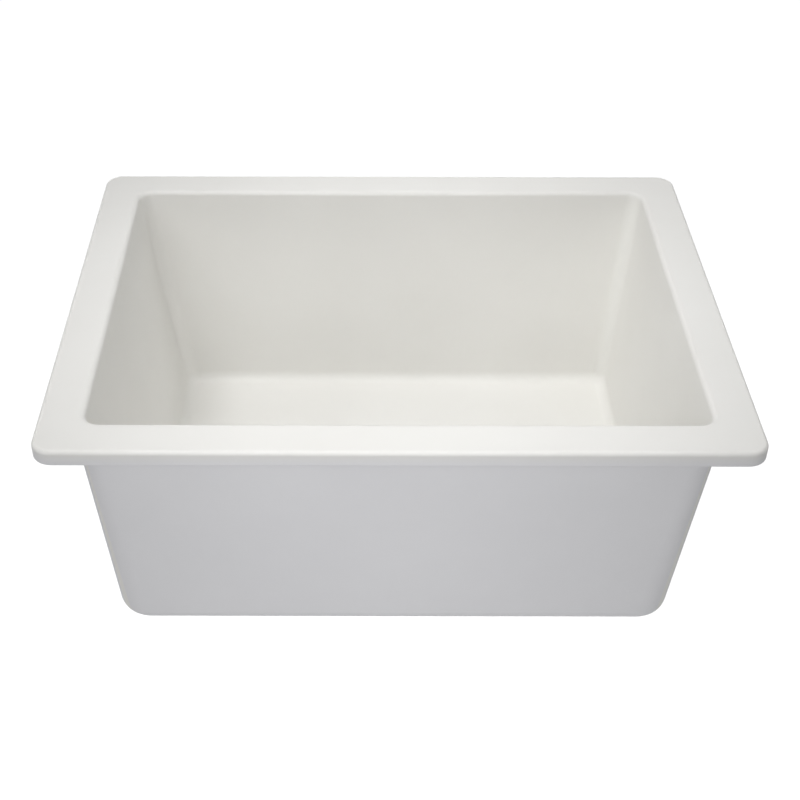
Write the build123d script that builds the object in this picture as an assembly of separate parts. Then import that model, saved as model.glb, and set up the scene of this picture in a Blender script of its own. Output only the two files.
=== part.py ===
from build123d import *
import os
from math import cos, radians, tan

# Bar sink with its basket strainer, outlet and hold-downs.
# Millimetres. X runs along the sink, -Y is its front, +Z is up.
# The origin is the centre of the worktop's cut-out, on the worktop's top face,
# which is the plane of the rim's underside.

# Rim
RIM_WIDTH = 412.75
RIM_DEPTH = 320.0
RIM_THICKNESS = 10.0
RIM_CORNER_RADIUS = 12.0
RIM_TOP_ROUND = 2.5
RIM_UNDER_ROUND = 1.2
RIM_OVERLAP = 9.0
FLANGE_SIDE = 26.5
FLANGE_FRONT = 26.5
FLANGE_BACK = 25.5

# Bowl
INNER_CORNER_RADIUS = 9.0
OPENING_ROUND = 3.0
BOWL_DEPTH = 158.5
WALL_THICKNESS = 8.0
WALL_DRAFT = 4.2
LEFT_INNER_DRAFT = 9.2
NECK_CORNER_RADIUS = 16.0
NECK_FILLET = 2.5
FLOOR_THICKNESS = 7.5
FLOOR_FILLET = 8.0
FLOOR_FALL = 2.0
FALL_CORNER_RADIUS = 8.0
FALL_BORDER = 1.0
FOOT_CORNER_RADIUS = 21.0
UNDERSIDE_FILLET = 11.0

# Drain seat in the bowl's floor
RECESS_DEPTH = 4.0
RECESS_CLEARANCE = 1.0
RECESS_EDGE_ROUND = 1.0
RECESS_LAND = 2.0
DRAIN_HOLE_CLEARANCE = 1.6
BOSS_THICKNESS = 9.0
BOSS_BORDER = 5.0
BOSS_FILLET = 3.0
BOSS_EDGE_ROUND = 1.5

# Foam seal in its groove under the rim
SEAL_INSET = 2.2
SEAL_WIDTH = 5.0
SEAL_DEPTH = 1.5

# Strainer
STRAINER_FLANGE_RADIUS = 57.15
STRAINER_FLANGE_THICKNESS = 2.4
STRAINER_FLANGE_EDGE = 1.2
BARREL_RADIUS = 42.85
BARREL_WALL = 1.6
CUP_DEPTH = 42.0
CUP_CORNER_ROUND = 6.0
LEDGE_WIDTH = 4.75
LEDGE_DEPTH = 1.1
GASKET_THICKNESS = 1.2
GASKET_BORDER = 1.5

# Outlet under the strainer
OUTLET_THREAD_RADIUS = 23.9
OUTLET_BORE_RADIUS = 18.5
OUTLET_COLLAR_RADIUS = 21.5
OUTLET_LENGTH = 20.0
SPUD_SHOULDER_RADIUS = 28.0
SPUD_SHOULDER_THICKNESS = 2.5
CROSS_DROP = 8.0
CROSS_THICKNESS = 3.0
CROSS_ARM_WIDTH = 3.5
CROSS_ARM_COUNT = 4
CROSS_HUB_RADIUS = 7.5
CROSS_HOLE_RADIUS = 4.0

# Clamping rings under the bowl
BOWL_WASHER_THICKNESS = 3.0
BOWL_WASHER_WIDTH = 12.75
FRICTION_WASHER_THICKNESS = 1.2
FRICTION_WASHER_WIDTH = 11.25
LOCKNUT_HEIGHT = 11.0
LOCKNUT_WALL = 6.65
LOCKNUT_FLANGE_WIDTH = 10.65
LOCKNUT_FLANGE_THICKNESS = 3.0
LOCKNUT_LUG_COUNT = 6
LOCKNUT_LUG_REACH = 13.15
LOCKNUT_LUG_WIDTH = 10.0
WASHER_BORE_CLEARANCE = 0.4

# Tailpiece and its coupling nut
TAILPIECE_RADIUS = 19.05
TAILPIECE_WALL = 1.2
TAILPIECE_LENGTH = 45.0
TAILPIECE_FLANGE_THICKNESS = 1.6
TAILPIECE_COLLAR_THICKNESS = 0.6
TAILPIECE_COLLAR_DROP = 0.6
TAILPIECE_WASHER_THICKNESS = 2.0
TAILPIECE_WASHER_WIDTH = 4.2
COUPLING_FLATS_RADIUS = 28.0
COUPLING_SIDES = 8
COUPLING_GRIP = 12.0
COUPLING_LIP_THICKNESS = 2.8
COUPLING_CHAMFER = 1.2

# Basket
BASKET_RIM_GAP = 0.6
BASKET_RIM_THICKNESS = 0.9
BASKET_WALL = 0.8
BASKET_SIDE_GAP = 0.7
BASKET_FLOOR_RADIUS = 36.0
BASKET_CORNER_ROUND = 4.0
FLOOR_HOLE_RADIUS = 1.75
FLOOR_HOLE_RINGS = 3
FLOOR_HOLE_RING_PITCH = 7.0
FLOOR_HOLES_PER_RING_STEP = 6
SLOT_WIDTH = 3.0
SLOT_HEIGHT = 11.0
SLOT_COUNT = 24
SLOT_RISE = 6.5
BUSH_RADIUS = 8.5
BUSH_NECK_RADIUS = 5.5
BUSH_HEIGHT = 5.0

# Plug on its post
PLUG_TRAVEL = 8.0
PLUG_OVERLAP = 4.0
PLUG_SEAL_THICKNESS = 3.0
PLUG_BACKING_RADIUS = 18.0
PLUG_BACKING_THICKNESS = 1.2
PLUG_WASHER_RADIUS = 8.0
PLUG_WASHER_THICKNESS = 1.0
PLUG_NUT_FLATS_RADIUS = 4.0
PLUG_NUT_THICKNESS = 3.0
PLUG_NUT_CHAMFER = 0.4
POST_RADIUS = 3.0
POST_SHOULDER_RADIUS = 4.8
POST_SHOULDER_THICKNESS = 2.0
POST_THREAD_RADIUS = 2.5
POST_TAIL_RADIUS = 1.8
KNOB_RADIUS = 12.0
KNOB_STEM_RADIUS = 6.5
KNOB_STEM_HEIGHT = 13.0
KNOB_CAP_HEIGHT = 9.0
KNOB_SOCKET_DEPTH = 14.0
CATCH_RADIUS = 3.85
CATCH_WALL = 0.45
CATCH_COLLAR_HEIGHT = 2.0
CATCH_BULB_HEIGHT = 5.0
CATCH_SLOT_WIDTH = 1.0

# Hold-downs
HOLD_DOWN_SPACING = 120.0
WORKTOP_THICKNESS = 30.0
STUD_RADIUS = 2.5
STUD_LENGTH = 56.0
STUD_CHAMFER = 0.8
INSERT_RADIUS = 3.5
INSERT_LENGTH = 6.0
CLIP_WIDTH = 10.0
CLIP_THICKNESS = 2.0
CLIP_RISE = 5.0
CLIP_FOOT = 7.5
CLIP_SLOPE_RUN = 3.0
CLIP_REACH = 20.0
CLIP_BEND_ROUND = 1.5
CLIP_NOSE_ROUND = 2.0
HOLD_DOWN_WASHER_RADIUS = 5.0
HOLD_DOWN_WASHER_THICKNESS = 1.0
HOLD_DOWN_NUT_FLATS_RADIUS = 4.0
HOLD_DOWN_NUT_HEIGHT = 5.0
HOLD_DOWN_NUT_FLANGE_RADIUS = 5.9
HOLD_DOWN_NUT_FLANGE_THICKNESS = 1.2

# Standard forms and clearances
NUT_SIDES = 6
SEAT_GAP = 0.2
STOP_GAP = 0.3
MOULDED_GAP = 0.02
THREAD_GAP = 0.08
SWIVEL_GAP = 0.1

# Levels of the bowl
rim_top = RIM_THICKNESS
floor_edge = rim_top - BOWL_DEPTH
floor_low = floor_edge - FLOOR_FALL
bowl_bottom = floor_edge - FLOOR_THICKNESS
recess_floor = floor_low - RECESS_DEPTH
boss_bottom = recess_floor - BOSS_THICKNESS

# Levels of the strainer and outlet
strainer_underside = recess_floor + GASKET_THICKNESS
strainer_top = strainer_underside + STRAINER_FLANGE_THICKNESS
ledge_level = strainer_top - LEDGE_DEPTH
plate_top = strainer_top - CUP_DEPTH
plate_bottom = plate_top - BARREL_WALL
shoulder_bottom = plate_bottom - SPUD_SHOULDER_THICKNESS
outlet_end = shoulder_bottom - OUTLET_LENGTH
cross_top = plate_top - CROSS_DROP
tail_flange_top = outlet_end - TAILPIECE_WASHER_THICKNESS
tail_flange_bottom = tail_flange_top - TAILPIECE_FLANGE_THICKNESS
coupling_bottom = tail_flange_bottom - COUPLING_LIP_THICKNESS
tail_collar_end = coupling_bottom - TAILPIECE_COLLAR_DROP
tail_end = tail_flange_top - TAILPIECE_LENGTH

# Levels of the plug, closed, and of the basket in its seat
plug_bottom = plate_top + SEAT_GAP
plug_top = plug_bottom + PLUG_SEAL_THICKNESS
backing_top = plug_top + PLUG_BACKING_THICKNESS
post_shoulder_top = backing_top + POST_SHOULDER_THICKNESS
plug_washer_bottom = plug_bottom - PLUG_WASHER_THICKNESS
plug_nut_bottom = plug_washer_bottom - PLUG_NUT_THICKNESS
catch_top = cross_top - CROSS_THICKNESS + CATCH_RADIUS
catch_bottom = catch_top - 2 * CATCH_BULB_HEIGHT - CATCH_COLLAR_HEIGHT
basket_underside = post_shoulder_top + PLUG_TRAVEL + STOP_GAP
basket_floor = basket_underside + BASKET_WALL
bush_top = basket_floor + BUSH_HEIGHT
knob_bottom = bush_top + STOP_GAP
knob_top = knob_bottom + KNOB_STEM_HEIGHT + KNOB_CAP_HEIGHT

# Radii that follow from the strainer
barrel_bore = BARREL_RADIUS - BARREL_WALL
ledge_radius = barrel_bore + LEDGE_WIDTH
drain_hole_radius = BARREL_RADIUS + DRAIN_HOLE_CLEARANCE
recess_radius = STRAINER_FLANGE_RADIUS + RECESS_CLEARANCE
clamp_bore = BARREL_RADIUS + WASHER_BORE_CLEARANCE
tail_bore = TAILPIECE_RADIUS - TAILPIECE_WALL
tail_collar_radius = TAILPIECE_RADIUS + TAILPIECE_COLLAR_THICKNESS

# Plan of the bowl. The left wall's inside leans in further than the others do, so that
# wall thickens towards the floor. The outside is even all round.
bowl_centre_y = (FLANGE_FRONT - FLANGE_BACK) / 2
wall_across = WALL_THICKNESS / cos(radians(WALL_DRAFT))


def lean(z, draft):
    """How far a wall with this draft has leaned in at height z."""
    return (rim_top - z) * tan(radians(draft))


def cavity_plan(z):
    """Centre X, width, depth and corner radius of the bowl's inside at height z."""
    left = lean(z, LEFT_INNER_DRAFT) - RIM_WIDTH / 2 + FLANGE_SIDE
    right = RIM_WIDTH / 2 - FLANGE_SIDE - lean(z, WALL_DRAFT)
    depth = RIM_DEPTH - FLANGE_FRONT - FLANGE_BACK - 2 * lean(z, WALL_DRAFT)
    return (left + right) / 2, right - left, depth, INNER_CORNER_RADIUS


def outside_plan(z):
    """Centre X, width, depth and corner radius of the bowl's outside at height z."""
    outset = wall_across - lean(z, WALL_DRAFT)
    width = RIM_WIDTH - 2 * FLANGE_SIDE + 2 * outset
    depth = RIM_DEPTH - FLANGE_FRONT - FLANGE_BACK + 2 * outset
    growth = (FOOT_CORNER_RADIUS - NECK_CORNER_RADIUS) * (rim_top - z) / BOWL_DEPTH
    return 0, width, depth, NECK_CORNER_RADIUS + growth


def plan_face(plan, z):
    """A rounded rectangle on the bowl's centre line, level at height z."""
    x, width, depth, corner = plan
    return (Pos(x, bowl_centre_y, z) * RectangleRounded(width, depth, corner)).face()


def rim_outline(inset, z):
    """The rim's outline, moved in by inset, at height z."""
    width = RIM_WIDTH - 2 * inset
    depth = RIM_DEPTH - 2 * inset
    return (Pos(0, 0, z) * RectangleRounded(width, depth, RIM_CORNER_RADIUS - inset)).face()


# The studs hang midway between the neck's fillet and the edge of the cut-out
stud_x = (outside_plan(0)[1] / 2 + NECK_FILLET + RIM_WIDTH / 2 - RIM_OVERLAP) / 2
stud_places = [
    (side * stud_x, row * HOLD_DOWN_SPACING / 2, 90 - 90 * side)
    for side in (1, -1)
    for row in (1, -1)
]


def turned(corners):
    """A solid of revolution about Z from (radius, height, rounding) corners."""
    outline = FilletPolyline(
        *[(r, z) for r, z, _ in corners],
        radius=[rounding for _, _, rounding in corners],
        close=True,
    )
    return revolve(Plane.XZ * make_face(outline), Axis.Z)


def ring(inner, outer, bottom, top):
    """A plain flat ring about Z."""
    return turned([(inner, bottom, 0), (outer, bottom, 0), (outer, top, 0), (inner, top, 0)])


def drill(radius, bottom, top):
    """A cylinder about Z, to cut a hole with."""
    return Pos(0, 0, bottom) * extrude(Circle(radius), top - bottom)


def prism(flats_radius, sides, bottom, top):
    """A regular prism about Z, sized over its flats."""
    return Pos(0, 0, bottom) * extrude(RegularPolygon(flats_radius, sides, False), top - bottom)


def chamfered_prism(flats_radius, sides, bottom, top, chamfer_size):
    """A nut's body: a prism whose corners are turned off at both ends."""
    corner = flats_radius / cos(radians(180 / sides))
    cone = turned([
        (0, bottom, 0),
        (corner - chamfer_size, bottom, 0),
        (corner, bottom + chamfer_size / 2, 0),
        (corner, top - chamfer_size / 2, 0),
        (corner - chamfer_size, top, 0),
        (0, top, 0),
    ])
    return prism(flats_radius, sides, bottom, top) & cone


def rim_plate():
    """The flat rim, solid across the bowl, with its rounded lip."""
    plate = extrude(rim_outline(0, 0), RIM_THICKNESS)
    plate = fillet(plate.edges().group_by(Axis.Z)[-1], RIM_TOP_ROUND)
    return fillet(plate.edges().group_by(Axis.Z)[0], RIM_UNDER_ROUND)


def bowl_outside():
    """The bowl's outer form, down from the rim."""
    top = plan_face(outside_plan(0), 0)
    bottom = plan_face(outside_plan(bowl_bottom), bowl_bottom)
    block = loft([top, bottom], ruled=True)
    return fillet(block.edges().group_by(Axis.Z)[0], UNDERSIDE_FILLET)


def bowl_cavity():
    """The space inside the bowl, with its rounded floor edge."""
    top = plan_face(cavity_plan(rim_top), rim_top)
    bottom = plan_face(cavity_plan(floor_edge), floor_edge)
    block = loft([top, bottom], ruled=True)
    return fillet(block.edges().group_by(Axis.Z)[0], FLOOR_FILLET)


def floor_fall():
    """The shallow hollow that leads water to the drain."""
    border = FLOOR_FILLET * tan(radians(90 - WALL_DRAFT) / 2) + FALL_BORDER
    x, width, depth, _ = cavity_plan(floor_edge)
    top = plan_face((x, width - 2 * border, depth - 2 * border, FALL_CORNER_RADIUS), floor_edge)
    across = 2 * (recess_radius + RECESS_LAND)
    bottom = plan_face((0, across, across, recess_radius), floor_low)
    return loft([top, bottom], ruled=True) + extrude(top, FLOOR_FALL)


def at_drain(piece):
    """Moves a piece made about Z to the drain, under the bowl's centre."""
    return Pos(0, bowl_centre_y, 0) * piece


def make_basin():
    """The one-piece moulded bowl and rim."""
    body = rim_plate() + bowl_outside()
    neck = [
        edge
        for edge in body.edges().filter_by_position(Axis.Z, -MOULDED_GAP, MOULDED_GAP)
        if abs(edge.center().X) < stud_x and abs(edge.center().Y) < RIM_DEPTH / 2 - RIM_OVERLAP
    ]
    body = fillet(neck, NECK_FILLET)
    boss_radius = recess_radius + BOSS_BORDER
    body = body + at_drain(turned([
        (0, boss_bottom, 0),
        (boss_radius, boss_bottom, BOSS_EDGE_ROUND),
        (boss_radius, bowl_bottom, 0),
        (0, bowl_bottom, 0),
    ]))
    foot = [
        edge
        for edge in body.edges().filter_by(GeomType.CIRCLE)
        if abs(edge.radius - boss_radius) < MOULDED_GAP
        and abs(edge.center().Z - bowl_bottom) < MOULDED_GAP
    ]
    body = fillet(foot, BOSS_FILLET)
    body = body - bowl_cavity()
    mouth = [
        edge
        for edge in body.edges().group_by(Axis.Z)[-1]
        if abs(edge.center().X) < RIM_WIDTH / 2 - FLANGE_SIDE / 2
        and abs(edge.center().Y) < RIM_DEPTH / 2 - FLANGE_FRONT / 2
    ]
    body = fillet(mouth, OPENING_ROUND)
    body = body - floor_fall()
    body = body - at_drain(drill(recess_radius, recess_floor, floor_edge))
    brink = [
        edge
        for edge in body.edges().filter_by(GeomType.CIRCLE)
        if abs(edge.radius - recess_radius) < MOULDED_GAP
        and abs(edge.center().Z - floor_low) < MOULDED_GAP
    ]
    body = fillet(brink, RECESS_EDGE_ROUND)
    body = body - at_drain(drill(drain_hole_radius, boss_bottom, floor_edge))
    groove = rim_outline(SEAL_INSET, 0) - rim_outline(SEAL_INSET + SEAL_WIDTH, 0)
    body = body - extrude(groove, SEAL_DEPTH)
    for x, y, _ in stud_places:
        body = body - Pos(x, y, 0) * drill(INSERT_RADIUS, 0, INSERT_LENGTH)
    return body


def make_rim_seal():
    """Foam strip, pressed level with the rim's underside."""
    outer = rim_outline(SEAL_INSET + MOULDED_GAP, 0)
    inner = rim_outline(SEAL_INSET + SEAL_WIDTH - MOULDED_GAP, 0)
    return extrude(outer - inner, SEAL_DEPTH)


def make_strainer_gasket():
    """Ring that beds the strainer's flange in the recess."""
    outer = STRAINER_FLANGE_RADIUS - GASKET_BORDER
    return at_drain(ring(drain_hole_radius, outer, recess_floor, strainer_underside))


def make_strainer_body():
    """Pressed cup with its flange and barrel."""
    edge_top = strainer_underside + STRAINER_FLANGE_EDGE
    corners = [
        (OUTLET_COLLAR_RADIUS, plate_bottom, 0),
        (BARREL_RADIUS, plate_bottom, CUP_CORNER_ROUND + BARREL_WALL),
        (BARREL_RADIUS, strainer_underside, 0),
        (STRAINER_FLANGE_RADIUS, strainer_underside, STRAINER_FLANGE_EDGE / 4),
        (STRAINER_FLANGE_RADIUS, edge_top, STRAINER_FLANGE_EDGE / 2),
        (ledge_radius, strainer_top, LEDGE_DEPTH / 2),
        (ledge_radius, ledge_level, 0),
        (barrel_bore, ledge_level, LEDGE_DEPTH / 2),
        (barrel_bore, plate_top, CUP_CORNER_ROUND),
        (OUTLET_COLLAR_RADIUS, plate_top, 0),
    ]
    return at_drain(turned(corners))


def make_outlet_spud():
    """Threaded outlet with the cross that guides the plug's post."""
    collar = OUTLET_COLLAR_RADIUS - MOULDED_GAP
    body = turned([
        (OUTLET_BORE_RADIUS, outlet_end, 0),
        (OUTLET_THREAD_RADIUS, outlet_end, 0),
        (OUTLET_THREAD_RADIUS, shoulder_bottom, 0),
        (SPUD_SHOULDER_RADIUS, shoulder_bottom, SPUD_SHOULDER_THICKNESS / 4),
        (SPUD_SHOULDER_RADIUS, plate_bottom, 0),
        (collar, plate_bottom, 0),
        (collar, plate_top, 0),
        (OUTLET_BORE_RADIUS, plate_top, 0),
    ])
    cross_bottom = cross_top - CROSS_THICKNESS
    cross = drill(CROSS_HUB_RADIUS, cross_bottom, cross_top)
    arm_length = 2 * OUTLET_BORE_RADIUS + BARREL_WALL
    for index in range(CROSS_ARM_COUNT // 2):
        arm = extrude(Rectangle(arm_length, CROSS_ARM_WIDTH), CROSS_THICKNESS)
        cross = cross + Pos(0, 0, cross_bottom) * Rot(0, 0, index * 360 / CROSS_ARM_COUNT) * arm
    cross = cross - drill(CROSS_HOLE_RADIUS, cross_bottom, cross_top)
    return at_drain(body + cross)


def make_bowl_washer():
    """Thick rubber washer against the underside of the bowl."""
    bottom = boss_bottom - BOWL_WASHER_THICKNESS
    return at_drain(ring(clamp_bore, clamp_bore + BOWL_WASHER_WIDTH, bottom, boss_bottom))


def make_friction_washer():
    """Fibre ring between the rubber and the locknut."""
    top = boss_bottom - BOWL_WASHER_THICKNESS
    outer = clamp_bore + FRICTION_WASHER_WIDTH
    return at_drain(ring(clamp_bore, outer, top - FRICTION_WASHER_THICKNESS, top))


def make_locknut():
    """Large lugged ring nut on the strainer's barrel."""
    top = boss_bottom - BOWL_WASHER_THICKNESS - FRICTION_WASHER_THICKNESS
    bottom = top - LOCKNUT_HEIGHT
    flange_bottom = top - LOCKNUT_FLANGE_THICKNESS
    bore = BARREL_RADIUS + THREAD_GAP
    body_radius = BARREL_RADIUS + LOCKNUT_WALL
    flange_radius = BARREL_RADIUS + LOCKNUT_FLANGE_WIDTH
    nut = turned([
        (bore, bottom, 0),
        (body_radius, bottom, LOCKNUT_FLANGE_THICKNESS / 3),
        (body_radius, flange_bottom, LOCKNUT_FLANGE_THICKNESS / 3),
        (flange_radius, flange_bottom, LOCKNUT_FLANGE_THICKNESS / 3),
        (flange_radius, top, 0),
        (bore, top, 0),
    ])
    lug_length = LOCKNUT_LUG_REACH - BARREL_WALL
    lug_plan = RectangleRounded(lug_length, LOCKNUT_LUG_WIDTH, LOCKNUT_FLANGE_THICKNESS / 2)
    lug = extrude(lug_plan, LOCKNUT_HEIGHT)
    lug_middle = BARREL_RADIUS + LOCKNUT_LUG_REACH - lug_length / 2
    for index in range(LOCKNUT_LUG_COUNT):
        turn = Rot(0, 0, index * 360 / LOCKNUT_LUG_COUNT)
        nut = nut + turn * Pos(lug_middle, 0, bottom) * lug
    return at_drain(nut)


def make_tailpiece_washer():
    """Flat washer between the outlet and the tailpiece's flange."""
    outer = OUTLET_THREAD_RADIUS - WASHER_BORE_CLEARANCE
    return at_drain(ring(outer - TAILPIECE_WASHER_WIDTH, outer, tail_flange_top, outlet_end))


def make_tailpiece():
    """Flanged outlet tube, thickened where the coupling nut grips it."""
    flange = OUTLET_THREAD_RADIUS - WASHER_BORE_CLEARANCE
    return at_drain(turned([
        (tail_bore, tail_end, 0),
        (TAILPIECE_RADIUS, tail_end, 0),
        (TAILPIECE_RADIUS, tail_collar_end, 0),
        (tail_collar_radius, tail_collar_end, 0),
        (tail_collar_radius, tail_flange_bottom, 0),
        (flange, tail_flange_bottom, TAILPIECE_FLANGE_THICKNESS / 4),
        (flange, tail_flange_top, 0),
        (tail_bore, tail_flange_top, 0),
    ]))


def make_coupling_nut():
    """Faceted nut that clamps the tailpiece to the outlet."""
    top = outlet_end + COUPLING_GRIP
    levels = coupling_bottom, top
    body = chamfered_prism(COUPLING_FLATS_RADIUS, COUPLING_SIDES, *levels, COUPLING_CHAMFER)
    body = body - drill(OUTLET_THREAD_RADIUS + THREAD_GAP, tail_flange_bottom, top)
    return at_drain(body - drill(tail_collar_radius + WASHER_BORE_CLEARANCE, *levels))


def make_basket_cup():
    """Perforated lift-out basket, resting on the strainer's ledge."""
    rim_radius = ledge_radius - BASKET_RIM_GAP
    rim_bottom = ledge_level + SEAT_GAP
    side_radius = barrel_bore - BASKET_SIDE_GAP
    cup = turned([
        (BUSH_NECK_RADIUS, basket_underside, 0),
        (BASKET_FLOOR_RADIUS, basket_underside, BASKET_CORNER_ROUND + BASKET_WALL),
        (side_radius, rim_bottom, 0),
        (rim_radius, rim_bottom, BASKET_RIM_THICKNESS / 3),
        (rim_radius, rim_bottom + BASKET_RIM_THICKNESS, BASKET_RIM_THICKNESS / 3),
        (side_radius - BASKET_WALL, rim_bottom + BASKET_RIM_THICKNESS, BASKET_RIM_THICKNESS / 2),
        (BASKET_FLOOR_RADIUS - BASKET_WALL, basket_floor, BASKET_CORNER_ROUND),
        (BUSH_NECK_RADIUS, basket_floor, 0),
    ])
    holes = []
    for step in range(1, FLOOR_HOLE_RINGS + 1):
        count = FLOOR_HOLES_PER_RING_STEP * (step + 1)
        radius = BUSH_RADIUS + step * FLOOR_HOLE_RING_PITCH - FLOOR_HOLE_RADIUS
        hole = drill(FLOOR_HOLE_RADIUS, basket_underside - BASKET_WALL, basket_floor + BASKET_WALL)
        holes += [Rot(0, 0, index * 360 / count) * Pos(radius, 0, 0) * hole for index in range(count)]
    slot_face = Plane.YZ * SlotOverall(SLOT_HEIGHT, SLOT_WIDTH, rotation=90)
    slot_level = basket_floor + SLOT_RISE + SLOT_HEIGHT / 2
    slot = Pos(barrel_bore / 2, 0, slot_level) * extrude(slot_face, barrel_bore)
    holes += [Rot(0, 0, index * 360 / SLOT_COUNT) * slot for index in range(SLOT_COUNT)]
    return at_drain(cup - holes)


def make_basket_bush():
    """Collar in the basket's floor, which guides the post."""
    bore = POST_RADIUS + THREAD_GAP
    return at_drain(turned([
        (bore, basket_underside, 0),
        (BUSH_NECK_RADIUS - MOULDED_GAP, basket_underside, 0),
        (BUSH_NECK_RADIUS - MOULDED_GAP, basket_floor, 0),
        (BUSH_RADIUS, basket_floor, 0),
        (BUSH_RADIUS, bush_top, BUSH_HEIGHT / 4),
        (bore, bush_top, 0),
    ]))


def make_plug_post():
    """Rod that carries the knob, the plug and the catch."""
    post_top = knob_bottom + KNOB_SOCKET_DEPTH
    return at_drain(turned([
        (0, catch_bottom, 0),
        (POST_TAIL_RADIUS, catch_bottom, 0),
        (POST_TAIL_RADIUS, plug_nut_bottom, 0),
        (POST_THREAD_RADIUS, plug_nut_bottom, 0),
        (POST_THREAD_RADIUS, backing_top, 0),
        (POST_SHOULDER_RADIUS, backing_top, 0),
        (POST_SHOULDER_RADIUS, post_shoulder_top, POST_SHOULDER_THICKNESS / 4),
        (POST_RADIUS, post_shoulder_top, 0),
        (POST_RADIUS, post_top, 0),
        (0, post_top, 0),
    ]))


def make_plug_knob():
    """Mushroom knob, screwed on the top of the post."""
    cap_bottom = knob_bottom + KNOB_STEM_HEIGHT
    socket = POST_RADIUS + MOULDED_GAP
    socket_top = knob_bottom + KNOB_SOCKET_DEPTH
    return at_drain(turned([
        (socket, knob_bottom, 0),
        (KNOB_STEM_RADIUS, knob_bottom, KNOB_STEM_RADIUS / 6),
        (KNOB_STEM_RADIUS, cap_bottom, KNOB_STEM_RADIUS / 3),
        (KNOB_RADIUS, cap_bottom, KNOB_CAP_HEIGHT / 6),
        (KNOB_RADIUS, knob_top, KNOB_CAP_HEIGHT / 2),
        (0, knob_top, 0),
        (0, socket_top, 0),
        (socket, socket_top, 0),
    ]))


def make_plug_backing():
    """Steel disc over the rubber plug."""
    bore = POST_THREAD_RADIUS + THREAD_GAP
    return at_drain(turned([
        (bore, plug_top, 0),
        (PLUG_BACKING_RADIUS, plug_top, 0),
        (PLUG_BACKING_RADIUS, backing_top, PLUG_BACKING_THICKNESS / 3),
        (bore, backing_top, 0),
    ]))


def make_plug_seal():
    """Rubber disc that closes the outlet."""
    bore = POST_THREAD_RADIUS + THREAD_GAP
    radius = OUTLET_COLLAR_RADIUS + PLUG_OVERLAP
    return at_drain(turned([
        (bore, plug_bottom, 0),
        (radius, plug_bottom, PLUG_SEAL_THICKNESS / 6),
        (radius, plug_top, PLUG_SEAL_THICKNESS / 3),
        (bore, plug_top, 0),
    ]))


def make_plug_washer():
    """Small washer under the rubber plug."""
    bore = POST_THREAD_RADIUS + THREAD_GAP
    return at_drain(ring(bore, PLUG_WASHER_RADIUS, plug_washer_bottom, plug_bottom))


def make_plug_nut():
    """Hexagon nut that holds the plug on the post."""
    levels = plug_nut_bottom, plug_washer_bottom
    body = chamfered_prism(PLUG_NUT_FLATS_RADIUS, NUT_SIDES, *levels, PLUG_NUT_CHAMFER)
    return at_drain(body - drill(POST_THREAD_RADIUS + THREAD_GAP, *levels))


def make_plug_catch():
    """Split spring bulb at the post's foot, squeezed to the width of the cross's hole."""
    inner = POST_TAIL_RADIUS + MOULDED_GAP
    outer = inner + CATCH_WALL
    low_collar_top = catch_bottom + CATCH_COLLAR_HEIGHT
    waist = low_collar_top + CATCH_BULB_HEIGHT
    high_collar_bottom = waist + CATCH_BULB_HEIGHT
    high_collar_top = high_collar_bottom + CATCH_COLLAR_HEIGHT
    bulb_round = CATCH_BULB_HEIGHT / 2
    bulb = turned([
        (inner, catch_bottom, 0),
        (outer, catch_bottom, 0),
        (outer, low_collar_top, 0),
        (CATCH_RADIUS, waist, bulb_round + CATCH_WALL),
        (outer, high_collar_bottom, 0),
        (outer, high_collar_top, 0),
        (inner, high_collar_top, 0),
        (inner, high_collar_bottom, 0),
        (CATCH_RADIUS - CATCH_WALL, waist, bulb_round),
        (inner, low_collar_top, 0),
    ])
    slot = Box(4 * CATCH_RADIUS, CATCH_SLOT_WIDTH, 2 * CATCH_BULB_HEIGHT)
    for turn in (0, 90):
        bulb = bulb - Pos(0, 0, waist) * Rot(0, 0, turn) * slot
    return at_drain(bulb)


def at_stud(piece, place):
    """Moves a piece made about Z, pointing along +X, to one stud."""
    x, y, turn = place
    return Pos(x, y, 0) * Rot(0, 0, turn) * piece


# Levels of the hold-downs, gripping a worktop of the thickness given above
clip_base_top = -WORKTOP_THICKNESS - CLIP_RISE
clip_base_bottom = clip_base_top - CLIP_THICKNESS
hold_down_nut_top = clip_base_bottom - HOLD_DOWN_WASHER_THICKNESS
hold_down_nut_bottom = hold_down_nut_top - HOLD_DOWN_NUT_HEIGHT


def stud_insert():
    """Brass insert, moulded in the rim's underside."""
    return ring(STUD_RADIUS + MOULDED_GAP, INSERT_RADIUS - MOULDED_GAP, 0, INSERT_LENGTH)


def hold_down_stud():
    """Stud that hangs from its insert."""
    return turned([
        (0, -STUD_LENGTH, 0),
        (STUD_RADIUS - STUD_CHAMFER, -STUD_LENGTH, 0),
        (STUD_RADIUS, -STUD_LENGTH + STUD_CHAMFER, 0),
        (STUD_RADIUS, INSERT_LENGTH, 0),
        (0, INSERT_LENGTH, 0),
    ])


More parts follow.
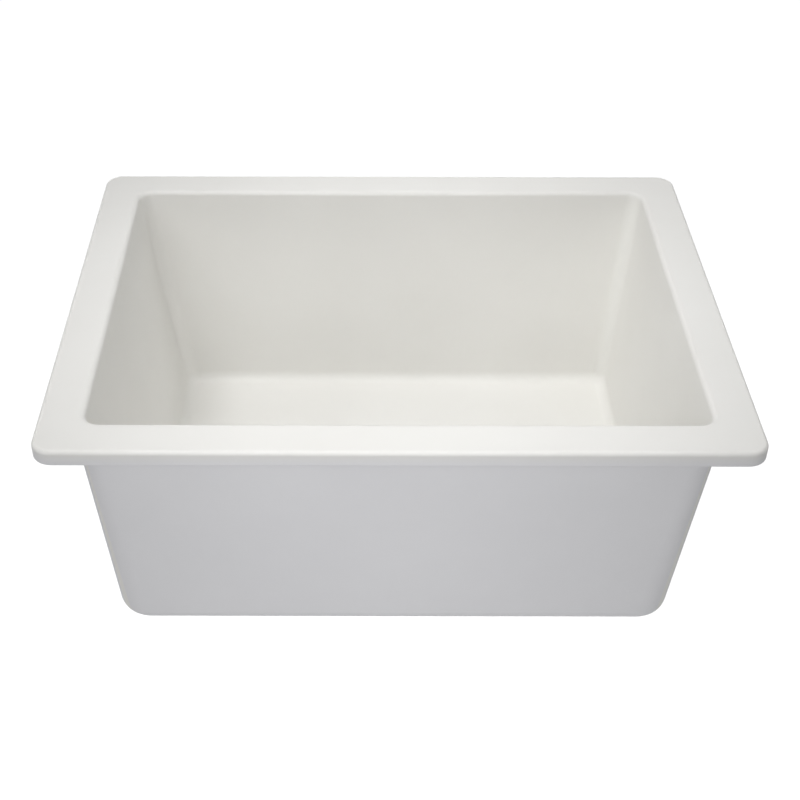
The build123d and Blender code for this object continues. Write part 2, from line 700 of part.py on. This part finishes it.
def hold_down_clip():
    """Pressed claw: a foot round the stud, a step up and a pad under the worktop."""
    heel = CLIP_WIDTH / 2
    pad_top = -WORKTOP_THICKNESS
    step = CLIP_THICKNESS * CLIP_RISE / (CLIP_SLOPE_RUN + (CLIP_SLOPE_RUN**2 + CLIP_RISE**2) ** 0.5)
    foot_end = CLIP_FOOT + CLIP_SLOPE_RUN
    side = FilletPolyline(
        (-heel, clip_base_top),
        (CLIP_FOOT, clip_base_top),
        (foot_end, pad_top),
        (CLIP_REACH, pad_top),
        (CLIP_REACH, pad_top - CLIP_THICKNESS),
        (foot_end + step, pad_top - CLIP_THICKNESS),
        (CLIP_FOOT + step, clip_base_bottom),
        (-heel, clip_base_bottom),
        radius=[0, CLIP_BEND_ROUND, CLIP_BEND_ROUND, 0, 0, CLIP_BEND_ROUND, CLIP_BEND_ROUND, 0],
        close=True,
    )
    strip = extrude(Plane.XZ * make_face(side), heel, both=True)
    blank_height = 2 * (CLIP_RISE + CLIP_THICKNESS)
    nose = Pos(CLIP_REACH / 2, 0) * RectangleRounded(CLIP_REACH, CLIP_WIDTH, CLIP_NOSE_ROUND)
    plan = nose + Circle(heel)
    blank = Pos(0, 0, clip_base_bottom) * extrude(plan, blank_height)
    hole = drill(STUD_RADIUS + SWIVEL_GAP, clip_base_bottom, clip_base_top)
    return (strip & blank) - hole


def hold_down_washer():
    """Plain washer between the clip and its nut."""
    bore = STUD_RADIUS + SWIVEL_GAP
    return ring(bore, HOLD_DOWN_WASHER_RADIUS, hold_down_nut_top, clip_base_bottom)


def hold_down_nut():
    """Flanged hexagon nut."""
    levels = hold_down_nut_bottom, hold_down_nut_top
    chamfer_size = HOLD_DOWN_NUT_FLANGE_THICKNESS / 2
    body = chamfered_prism(HOLD_DOWN_NUT_FLATS_RADIUS, NUT_SIDES, *levels, chamfer_size)
    flange_bottom = hold_down_nut_top - HOLD_DOWN_NUT_FLANGE_THICKNESS
    body = body + drill(HOLD_DOWN_NUT_FLANGE_RADIUS, flange_bottom, hold_down_nut_top)
    return body - drill(STUD_RADIUS + THREAD_GAP, *levels)


pieces = {
    "basin": make_basin(),
    "rim_seal": make_rim_seal(),
    "strainer_gasket": make_strainer_gasket(),
    "strainer_body": make_strainer_body(),
    "outlet_spud": make_outlet_spud(),
    "bowl_washer": make_bowl_washer(),
    "friction_washer": make_friction_washer(),
    "locknut": make_locknut(),
    "tailpiece_washer": make_tailpiece_washer(),
    "tailpiece": make_tailpiece(),
    "coupling_nut": make_coupling_nut(),
    "basket_cup": make_basket_cup(),
    "basket_bush": make_basket_bush(),
    "plug_post": make_plug_post(),
    "plug_knob": make_plug_knob(),
    "plug_backing": make_plug_backing(),
    "plug_seal": make_plug_seal(),
    "plug_washer": make_plug_washer(),
    "plug_nut": make_plug_nut(),
    "plug_catch": make_plug_catch(),
    "stud_inserts": Compound([at_stud(stud_insert(), place) for place in stud_places]),
    "hold_down_studs": Compound([at_stud(hold_down_stud(), place) for place in stud_places]),
}
for number, place in enumerate(stud_places, 1):
    pieces[f"hold_down_clip_{number}"] = at_stud(hold_down_clip(), place)
    pieces[f"hold_down_washer_{number}"] = at_stud(hold_down_washer(), place)
    pieces[f"hold_down_nut_{number}"] = at_stud(hold_down_nut(), place)

os.makedirs("parts", exist_ok=True)
for name, shape in pieces.items():
    export_step(shape, f"parts/{name}.step")
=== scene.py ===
from math import cos, pi, radians, sin, tan

import bpy
from mathutils import Matrix, Vector


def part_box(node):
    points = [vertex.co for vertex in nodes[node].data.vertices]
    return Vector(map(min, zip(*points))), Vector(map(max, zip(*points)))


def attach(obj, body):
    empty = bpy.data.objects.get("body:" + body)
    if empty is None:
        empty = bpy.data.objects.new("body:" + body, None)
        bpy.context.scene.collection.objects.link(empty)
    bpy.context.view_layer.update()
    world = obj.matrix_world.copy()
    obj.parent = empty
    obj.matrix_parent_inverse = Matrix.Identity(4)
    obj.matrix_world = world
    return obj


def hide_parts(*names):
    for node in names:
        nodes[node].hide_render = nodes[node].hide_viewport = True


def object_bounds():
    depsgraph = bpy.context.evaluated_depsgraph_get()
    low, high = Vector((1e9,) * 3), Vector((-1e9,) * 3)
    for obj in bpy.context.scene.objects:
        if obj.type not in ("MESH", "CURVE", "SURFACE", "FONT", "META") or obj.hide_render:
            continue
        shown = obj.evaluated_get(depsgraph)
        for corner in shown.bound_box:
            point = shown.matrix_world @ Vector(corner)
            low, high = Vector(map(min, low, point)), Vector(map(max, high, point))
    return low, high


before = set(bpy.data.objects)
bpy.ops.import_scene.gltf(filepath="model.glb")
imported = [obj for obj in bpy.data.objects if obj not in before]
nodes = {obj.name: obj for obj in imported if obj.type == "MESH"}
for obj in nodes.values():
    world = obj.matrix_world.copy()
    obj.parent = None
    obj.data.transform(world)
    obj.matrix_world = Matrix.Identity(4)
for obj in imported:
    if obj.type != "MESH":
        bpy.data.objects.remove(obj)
cad_low, cad_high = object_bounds()
scene = bpy.context.scene
scene.view_settings.view_transform = "Standard"

# Sizes shared with the model, in metres
FLANGE = 0.0265
WALL = 0.008
WALL_DRAFT = radians(4.2)
BOSS_TO_DRAIN_SEAT = 0.0083
basin_low, basin_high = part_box("basin")
rim_width = basin_high.x - basin_low.x
rim_depth = basin_high.y - basin_low.y
rim_top = basin_high.z
drain_seat = basin_low.z + BOSS_TO_DRAIN_SEAT
strainer_low, strainer_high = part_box("strainer_body")
drain = ((strainer_low.x + strainer_high.x) / 2, (strainer_low.y + strainer_high.y) / 2)


# Camera, placed from the photograph's perspective, in rim widths from the rim's top
PIXELS = 800
FOCAL_PIXELS = 1400
PITCH = 0.6516
ROLL = 0.0020
CAMERA_WIDTHS = Vector((-0.0623, -1.8343, 1.1927))
camera = bpy.data.objects.new("camera", bpy.data.cameras.new("camera"))
scene.collection.objects.link(camera)
scene.camera = camera
camera.data.sensor_width = 36
camera.data.lens = FOCAL_PIXELS / PIXELS * camera.data.sensor_width
camera.data.shift_x = 0.0575
camera.data.clip_start = 0.01
ahead = Vector((0, cos(PITCH), -sin(PITCH)))
level = Vector((1, 0, 0))
above = level.cross(ahead)
across = cos(ROLL) * level + sin(ROLL) * above
upward = -sin(ROLL) * level + cos(ROLL) * above
place = CAMERA_WIDTHS * rim_width + Vector((0, 0, rim_top))
turn = Matrix((across, upward, -ahead)).transposed()
camera.matrix_world = Matrix.Translation(place) @ turn.to_4x4()


# Materials
class Graph:
    """Builds one material's nodes."""

    def __init__(self, name):
        self.material = bpy.data.materials.new(name)
        self.material.use_nodes = True
        self.tree = self.material.node_tree
        self.shader = self.tree.nodes["Principled BSDF"]
        self.point = None

    def node(self, kind, **values):
        """Adds one node and sets its properties."""
        made = self.tree.nodes.new(kind)
        for key, value in values.items():
            setattr(made, key, value)
        return made

    def link(self, source, target):
        self.tree.links.new(source, target)

    def feed(self, target, value):
        """Links another node's output to a socket, or sets the socket's own value."""
        if isinstance(value, bpy.types.NodeSocket):
            self.link(value, target)
        else:
            target.default_value = value

    def position(self):
        """The point on the object, in metres."""
        if self.point is None:
            self.point = self.node("ShaderNodeTexCoord").outputs["Object"]
        return self.point

    def math(self, operation, a, b=0.0):
        made = self.node("ShaderNodeMath", operation=operation)
        self.feed(made.inputs[0], a)
        self.feed(made.inputs[1], b)
        return made.outputs[0]

    def parts(self):
        """The point's x, y and z."""
        return self.split(self.position())

    def split(self, vector):
        made = self.node("ShaderNodeSeparateXYZ")
        self.link(vector, made.inputs[0])
        return made.outputs[0], made.outputs[1], made.outputs[2]

    def join(self, x, y, z):
        made = self.node("ShaderNodeCombineXYZ")
        for target, value in zip(made.inputs, (x, y, z)):
            self.feed(target, value)
        return made.outputs[0]

    def noise(self, scale, detail=3.0, roughness=0.5, vector=None):
        """Clouds, with this many to a metre."""
        made = self.node("ShaderNodeTexNoise")
        self.link(vector or self.position(), made.inputs["Vector"])
        made.inputs["Scale"].default_value = scale
        made.inputs["Detail"].default_value = detail
        made.inputs["Roughness"].default_value = roughness
        return made.outputs["Fac"]

    def cells(self, scale, feature="F1"):
        """Distance from the middle of the nearest cell."""
        made = self.node("ShaderNodeTexVoronoi", feature=feature)
        self.link(self.position(), made.inputs["Vector"])
        made.inputs["Scale"].default_value = scale
        return made.outputs["Distance"]

    def spread(self, value, low, high, out_low=0.0, out_high=1.0):
        """Maps low to high onto the other range, and no further."""
        made = self.node("ShaderNodeMapRange", clamp=True)
        self.feed(made.inputs["Value"], value)
        made.inputs["From Min"].default_value = low
        made.inputs["From Max"].default_value = high
        made.inputs["To Min"].default_value = out_low
        made.inputs["To Max"].default_value = out_high
        return made.outputs["Result"]

    def mix(self, factor, a, b):
        """Blends two colours."""
        made = self.node("ShaderNodeMix", data_type="RGBA")
        self.feed(made.inputs["Factor"], factor)
        for name, value in (("A", a), ("B", b)):
            target = next(s for s in made.inputs if s.name == name and s.type == "RGBA")
            self.feed(target, (*value, 1) if isinstance(value, tuple) else value)
        return next(s for s in made.outputs if s.type == "RGBA")

    def bump(self, height, distance, strength=1.0, under=None):
        """A bumped normal, over another one if there is one."""
        made = self.node("ShaderNodeBump")
        self.link(height, made.inputs["Height"])
        made.inputs["Distance"].default_value = distance
        made.inputs["Strength"].default_value = strength
        if under is not None:
            self.link(under, made.inputs["Normal"])
        return made.outputs["Normal"]

    def finish(self, colour, roughness, normal=None, **constants):
        """Feeds the shader and gives the material back."""
        self.feed(self.shader.inputs["Base Color"], colour)
        self.feed(self.shader.inputs["Roughness"], roughness)
        if normal is not None:
            self.link(normal, self.shader.inputs["Normal"])
        for name, value in constants.items():
            self.shader.inputs[name.replace("_", " ")].default_value = value
        return self.material


def composite():
    """Matt moulded composite: fair and smooth inside; greyer, bluer and drier outside, where the
    cooler grey is partly a rawer moulded skin and partly painted cool shade.
    """
    g = Graph("moulded_composite")
    x, y, z = g.parts()
    lean = g.math("MULTIPLY", g.math("SUBTRACT", rim_top, z), tan(WALL_DRAFT))
    half_width = rim_width / 2 - FLANGE + WALL / 2
    half_depth = rim_depth / 2 - FLANGE + WALL / 2
    from_side = g.math("ADD", g.math("SUBTRACT", g.math("ABSOLUTE", x), half_width), lean)
    from_middle = g.math("ABSOLUTE", g.math("SUBTRACT", y, drain[1]))
    from_end = g.math("ADD", g.math("SUBTRACT", from_middle, half_depth), lean)
    beyond = g.math("MAXIMUM", from_side, from_end)
    beyond = g.math("MAXIMUM", beyond, g.math("SUBTRACT", drain_seat, z))
    below_rim = g.spread(z, rim_top - 0.0005, rim_top - 0.0085)
    outside = g.math("MULTIPLY", g.spread(beyond, -0.0004, 0.0004), below_rim)
    cloud = g.noise(9, 4, 0.55)
    fair = g.mix(g.spread(cloud, 0.3, 0.7), (0.868, 0.860, 0.830), (0.900, 0.893, 0.866))
    # Outer walls' colour: partly the rawer skin's own greyer tone, partly painted cool shade
    outer_skin_and_painted_shade = g.mix(g.spread(cloud, 0.3, 0.7), (0.830, 0.830, 0.852), (0.868, 0.868, 0.888))
    colour = g.mix(outside, fair, outer_skin_and_painted_shade)
    grain = g.noise(1500, 3, 0.7)
    colour = g.mix(g.spread(grain, 0.62, 0.78, 0.0, 0.20), colour, (0.62, 0.60, 0.56))
    fleck = g.cells(420)
    colour = g.mix(g.spread(fleck, 0.16, 0.04, 0.0, 0.22), colour, (0.97, 0.965, 0.95))
    roughness = g.mix(outside, (0.52, 0.52, 0.52), (0.64, 0.64, 0.64))
    roughness = g.math("ADD", g.split(roughness)[0], g.spread(cloud, 0.3, 0.7, -0.04, 0.05))
    skin = g.bump(g.noise(650, 4, 0.6), 0.00006, 0.35)
    return g.finish(colour, roughness, g.bump(g.noise(28, 3, 0.5), 0.0004, 0.25, skin))


def turned_metal(name, dark, light, low, high, lines):
    """Metal with fine lines round the drain's axis."""
    g = Graph(name)
    x, y, z = g.parts()
    dx = g.math("SUBTRACT", x, drain[0])
    dy = g.math("SUBTRACT", y, drain[1])
    radius = g.math("SQRT", g.math("ADD", g.math("MULTIPLY", dx, dx), g.math("MULTIPLY", dy, dy)))
    rings = g.noise(lines, 2, 0.6, g.join(radius, 0.0, z))
    stain = g.noise(60, 4, 0.6)
    tone = g.math("MULTIPLY", g.math("ADD", rings, stain), 0.5)
    colour = g.mix(g.spread(tone, 0.35, 0.65), dark, light)
    roughness = g.spread(tone, 0.3, 0.7, low, high)
    return g.finish(colour, roughness, g.bump(rings, 0.000006, 0.6), Metallic=1.0)


def plated():
    """Bright plating with a faint cloud and a few wiped marks."""
    g = Graph("polished_plate")
    x, y, z = g.parts()
    cloud = g.noise(35, 4, 0.6)
    streak = g.noise(240, 2, 0.5, g.join(x, y, g.math("MULTIPLY", z, 0.12)))
    tone = g.math("ADD", g.math("MULTIPLY", cloud, 0.6), g.math("MULTIPLY", streak, 0.4))
    colour = g.mix(g.spread(tone, 0.35, 0.65), (0.48, 0.49, 0.51), (0.60, 0.61, 0.63))
    roughness = g.spread(tone, 0.35, 0.7, 0.06, 0.16)
    return g.finish(colour, roughness, g.bump(streak, 0.000006, 0.4), Metallic=1.0)


def zinc():
    """Zinc plate: grey with pale blooms and a dull sheen."""
    g = Graph("zinc_plate")
    bloom = g.cells(900, "SMOOTH_F1")
    cloud = g.noise(120, 4, 0.65)
    colour = g.mix(g.spread(bloom, 0.1, 0.7), (0.50, 0.51, 0.53), (0.66, 0.67, 0.70))
    colour = g.mix(g.spread(cloud, 0.55, 0.75, 0.0, 0.35), colour, (0.72, 0.70, 0.60))
    roughness = g.spread(cloud, 0.3, 0.7, 0.28, 0.48)
    return g.finish(colour, roughness, g.bump(bloom, 0.00001, 0.4), Metallic=1.0)


def rubbery(name, dark, light, roughness, grain=900, depth=0.00003):
    """Moulded rubber or plastic with a faint skin texture."""
    g = Graph(name)
    cloud = g.noise(45, 3, 0.5)
    colour = g.mix(g.spread(cloud, 0.3, 0.7), dark, light)
    rough = g.spread(cloud, 0.3, 0.7, roughness - 0.05, roughness + 0.06)
    return g.finish(colour, rough, g.bump(g.noise(grain, 3, 0.6), depth, 0.5))


def foam():
    """Closed-cell foam strip."""
    g = Graph("foam_strip")
    pore = g.cells(1600)
    colour = g.mix(g.spread(pore, 0.05, 0.5), (0.012, 0.012, 0.013), (0.05, 0.05, 0.052))
    return g.finish(colour, 0.92, g.bump(pore, 0.00015, 0.8))


def fibre():
    """Pressed fibre: short crossing hairs in a red-brown board."""
    g = Graph("pressed_fibre")
    x, y, z = g.parts()
    one = g.noise(900, 3, 0.6, g.join(x, g.math("MULTIPLY", y, 0.15), z))
    two = g.noise(900, 3, 0.6, g.join(g.math("MULTIPLY", x, 0.15), y, z))
    hair = g.math("MAXIMUM", one, two)
    colour = g.mix(g.spread(hair, 0.45, 0.75), (0.24, 0.10, 0.06), (0.46, 0.24, 0.14))
    return g.finish(colour, 0.85, g.bump(hair, 0.00005, 0.6))


stainless = turned_metal("brushed_stainless", (0.44, 0.44, 0.44), (0.60, 0.60, 0.59), 0.22, 0.36, 2600)
brass = turned_metal("turned_brass", (0.55, 0.38, 0.16), (0.74, 0.55, 0.27), 0.24, 0.42, 1800)
polished = plated()
zinc_plate = zinc()
black_rubber = rubbery("black_rubber", (0.016, 0.016, 0.017), (0.034, 0.034, 0.035), 0.62)
pale_rubber = rubbery("pale_rubber", (0.60, 0.58, 0.53), (0.70, 0.68, 0.63), 0.58)
nylon = rubbery("moulded_nylon", (0.78, 0.77, 0.73), (0.86, 0.85, 0.82), 0.42, 500, 0.00002)
finishes = {
    "basin": composite(),
    "rim_seal": foam(),
    "strainer_gasket": pale_rubber,
    "strainer_body": stainless,
    "outlet_spud": brass,
    "bowl_washer": black_rubber,
    "friction_washer": fibre(),
    "locknut": zinc_plate,
    "tailpiece_washer": nylon,
    "tailpiece": polished,
    "coupling_nut": polished,
    "basket_cup": stainless,
    "basket_bush": nylon,
    "plug_post": stainless,
    "plug_knob": polished,
    "plug_backing": stainless,
    "plug_seal": black_rubber,
    "plug_washer": stainless,
    "plug_nut": stainless,
    "plug_catch": stainless,
    "stud_inserts": brass,
    "hold_down_studs": zinc_plate,
}
for name, node in nodes.items():
    finish = finishes.get(name, zinc_plate)
    node.data.materials.clear()
    node.data.materials.append(finish)


# Screw threads
def thread_mesh(name, places, bore, root, crest, pitch, low, high, around, steps=6):
    """Right-hand threads about upright axes: a skin waved by its pitch, on a rod or round a bore."""
    verts, faces = [], []
    rows = max(2, round((high - low) / pitch * steps)) + 1
    rings = rows + 2 if bore else rows
    for x, y in places:
        first = len(verts)
        for ring in range(rings):
            z = low + (high - low) * ring / (rows - 1) if ring < rows else (high, low)[ring - rows]
            runout = min(1.0, (z - low) / pitch, (high - z) / pitch)
            for column in range(around):
                turn = column / around
                wave = abs(((z / pitch - turn) % 1.0) * 2 - 1)
                radius = root + (crest - root) * min(1.0, 1.25 * wave) * runout
                if ring >= rows:
                    radius = bore
                verts.append((x + radius * cos(2 * pi * turn), y + radius * sin(2 * pi * turn), z))
        laps = [[first + ring * around + column for column in range(around)] for ring in range(rings)]
        for lower, upper in zip(laps, laps[1:] + laps[:1] if bore else laps[1:]):
            for column in range(around):
                faces.append((lower[column - 1], lower[column], upper[column], upper[column - 1]))
        if not bore:
            faces.append(tuple(reversed(laps[0])))
            faces.append(tuple(laps[-1]))
    mesh = bpy.data.meshes.new(name)
    mesh.from_pydata(verts, [], faces)
    mesh.polygons.foreach_set("use_smooth", [len(f) == 4 for f in faces])
    made = bpy.data.objects.new(name, mesh)
    scene.collection.objects.link(made)
    return made


STUD_RADIUS = 0.0025
STUD_ROOT = 0.00206
STUD_PITCH = 0.0008
STUD_FACETS = 28
stud_low, stud_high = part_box("hold_down_studs")
stud_x = stud_high.x - STUD_RADIUS
stud_y = stud_high.y - STUD_RADIUS
stud_places = [(side * stud_x, row * stud_y) for side in (1, -1) for row in (1, -1)]
studs = thread_mesh(
    "stud_threads", stud_places, 0, STUD_ROOT, STUD_RADIUS, STUD_PITCH,
    stud_low.z, stud_high.z, STUD_FACETS,
)
studs.data.materials.append(zinc_plate)
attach(studs, "sink")
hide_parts("hold_down_studs")

BARREL_RADIUS = 0.04285
BARREL_PITCH = 0.0021
OUTLET_RADIUS = 0.0239
OUTLET_PITCH = 0.0018
DRAIN_FACETS = 120
BARREL_CORNER = 0.0085
SPUD_SHOULDER = 0.0027
THREAD_GAP = 0.0002
THREAD_HEIGHT = 0.0004
ROOT_SINK = 0.00005
BORE_SINK = 0.0009
locknut_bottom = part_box("locknut")[0].z
coupling_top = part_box("coupling_nut")[1].z
for name, material, slot_name, radius, pitch, low, high in (
    ("barrel_thread", stainless, "stainless", BARREL_RADIUS, BARREL_PITCH,
     strainer_low.z + BARREL_CORNER, locknut_bottom - THREAD_GAP),
    ("outlet_thread", brass, "brass", OUTLET_RADIUS, OUTLET_PITCH,
     coupling_top + THREAD_GAP, strainer_low.z - SPUD_SHOULDER),
):
    radii = (radius - BORE_SINK, radius - ROOT_SINK, radius + THREAD_HEIGHT)
    piece = thread_mesh(name, [drain], *radii, pitch, low, high, DRAIN_FACETS)
    piece.data.materials.append(material)
    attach(piece, "sink")


# Floor, world and lights
def seen_directly(tree):
    """One for rays from the camera, from gloss and through glass; none for the rest."""
    path = tree.nodes.new("ShaderNodeLightPath")
    seen = path.outputs["Is Camera Ray"]
    for kind in ("Is Glossy Ray", "Is Transmission Ray"):
        either = tree.nodes.new("ShaderNodeMath")
        either.operation = "MAXIMUM"
        tree.links.new(seen, either.inputs[0])
        tree.links.new(path.outputs[kind], either.inputs[1])
        seen = either.outputs[0]
    return seen


def blend_shaders(tree, factor, unseen, seen, output):
    """Sends one shader or the other to the output."""
    blend = tree.nodes.new("ShaderNodeMixShader")
    tree.links.new(factor, blend.inputs[0])
    tree.links.new(unseen, blend.inputs[1])
    tree.links.new(seen, blend.inputs[2])
    tree.links.new(blend.outputs[0], tree.nodes[output].inputs["Surface"])


FLOOR_SIZE = 12
FLOOR_GAP = 0.002
SHADOW_DEPTH = 0.14
WORLD_STRENGTH = 0.250
half = FLOOR_SIZE / 2
floor_corners = [(-half, -half, 0), (half, -half, 0), (half, half, 0), (-half, half, 0)]
floor_mesh = bpy.data.meshes.new("floor")
floor_mesh.from_pydata(floor_corners, [], [(0, 1, 2, 3)])
floor = bpy.data.objects.new("floor", floor_mesh)
floor.location.z = cad_low.z - FLOOR_GAP
scene.collection.objects.link(floor)
ground = bpy.data.materials.new("pale_floor")
ground.use_nodes = True
tree = ground.node_tree
pale = tree.nodes["Principled BSDF"]
pale.inputs["Base Color"].default_value = (0.86, 0.86, 0.86, 1)
pale.inputs["Roughness"].default_value = 0.9
glow = tree.nodes.new("ShaderNodeEmission")
glow.inputs["Strength"].default_value = 1 - SHADOW_DEPTH
shadowed = tree.nodes.new("ShaderNodeBsdfDiffuse")
shade = 1.1 * SHADOW_DEPTH / WORLD_STRENGTH
shadowed.inputs["Color"].default_value = (shade, shade, shade, 1)
white = tree.nodes.new("ShaderNodeAddShader")
tree.links.new(glow.outputs[0], white.inputs[0])
tree.links.new(shadowed.outputs[0], white.inputs[1])
blend_shaders(tree, seen_directly(tree), pale.outputs[0], white.outputs[0], "Material Output")
floor_mesh.materials.append(ground)

world = bpy.data.worlds.new("studio")
scene.world = world
world.use_nodes = True
tree = world.node_tree
sky = tree.nodes["Background"]
sky.inputs["Color"].default_value = (1, 1, 1, 1)
sky.inputs["Strength"].default_value = WORLD_STRENGTH
backdrop = tree.nodes.new("ShaderNodeBackground")
backdrop.inputs["Color"].default_value = (1, 1, 1, 1)
backdrop.inputs["Strength"].default_value = 1.0
blend_shaders(tree, seen_directly(tree), sky.outputs[0], backdrop.outputs[0], "World Output")


def soft_box(name, place, target, size, spread, watts):
    """A rectangular studio lamp with a grid that keeps its light on the object."""
    lamp = bpy.data.lights.new(name, "AREA")
    lamp.shape = "RECTANGLE"
    lamp.size, lamp.size_y = size
    lamp.spread = radians(spread)
    lamp.energy = watts
    made = bpy.data.objects.new(name, lamp)
    made.location = place
    made.rotation_euler = (Vector(target) - Vector(place)).to_track_quat("-Z", "Y").to_euler()
    scene.collection.objects.link(made)


soft_box("high_left", (-0.41, 0, 1.08), (0.054, 0, -0.07), (0.40, 0.40), 50, 0.512)
soft_box("overhead", (0, -0.03, 1.10), (0, -0.03, -0.10), (0.40, 0.30), 40, 0.127)
soft_box("back_right", (0.57, 0.57, 0.84), (0, 0, -0.07), (0.40, 0.40), 50, 0.156)
soft_box("front_left", (-0.38, -1.045, 0.40), (0, 0, -0.07), (0.40, 0.40), 50, 0.215)
soft_box("front", (0, -0.70, 0.35), (0, -0.12, -0.05), (0.30, 0.30), 50, 0.122)
